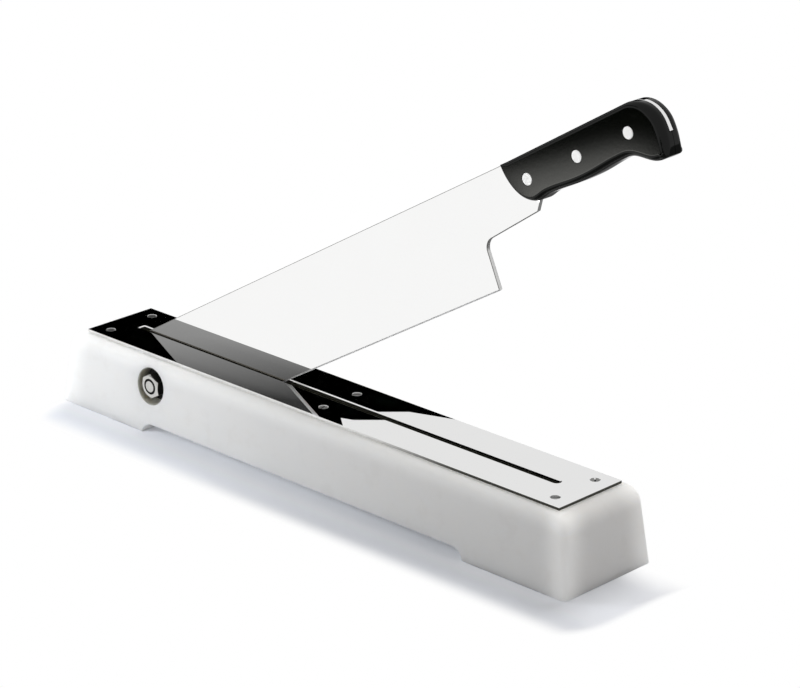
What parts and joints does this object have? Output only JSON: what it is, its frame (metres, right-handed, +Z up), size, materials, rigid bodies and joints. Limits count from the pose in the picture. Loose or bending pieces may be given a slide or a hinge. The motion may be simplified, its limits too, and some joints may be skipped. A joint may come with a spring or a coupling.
{
  "type": "salt cod cutter",
  "caption": "Salt cod cutter: a long mirror-polished blade with a black riveted handle, hinged at one end of a white plastic block with a slotted steel plate on top.",
  "frame": {"origin": "on the table, under the middle of the whole cutter with the blade raised as in the picture", "axes": "+X along the block from the hinge end towards the handle, +Y across the block away from the nut, +Z up"},
  "size_m": [0.5252, 0.0832, 0.3206],
  "materials": {
    "white_plastic": "satin",
    "mirror_steel": "polished",
    "screw_steel": "satin",
    "bolt_steel": "satin",
    "black_plastic": "gloss",
    "rivet_steel": "polished",
    "shim_plastic": "matte"
  },
  "bodies": {
    "base": {"base_block": "white_plastic", "top_plate": "mirror_steel", "plate_screw_pivot_end_near": "screw_steel", "plate_screw_pivot_end_far": "screw_steel", "plate_screw_middle_near": "screw_steel", "plate_screw_middle_far": "screw_steel", "plate_screw_handle_end_near": "screw_steel", "plate_screw_handle_end_far": "screw_steel", "pivot_bolt": "bolt_steel", "pivot_nut": "bolt_steel", "pivot_washer_near": "bolt_steel", "pivot_washer_far": "bolt_steel", "pivot_bush": "bolt_steel", "blade_shim_near": "shim_plastic", "blade_shim_far": "shim_plastic"},
    "blade": {"blade": "mirror_steel", "handle_scale_near": "black_plastic", "handle_scale_far": "black_plastic", "handle_rivet_front": "rivet_steel", "handle_rivet_middle": "rivet_steel", "handle_rivet_rear": "rivet_steel"}
  },
  "joints": [
    {"name": "blade_pivot", "type": "hinge", "parent": "base", "child": "blade", "pos_m": [-0.17021, 0, 0.0354], "axis": [0, -1, 0], "range_deg": [-27.2, 64.5]}
  ]
}
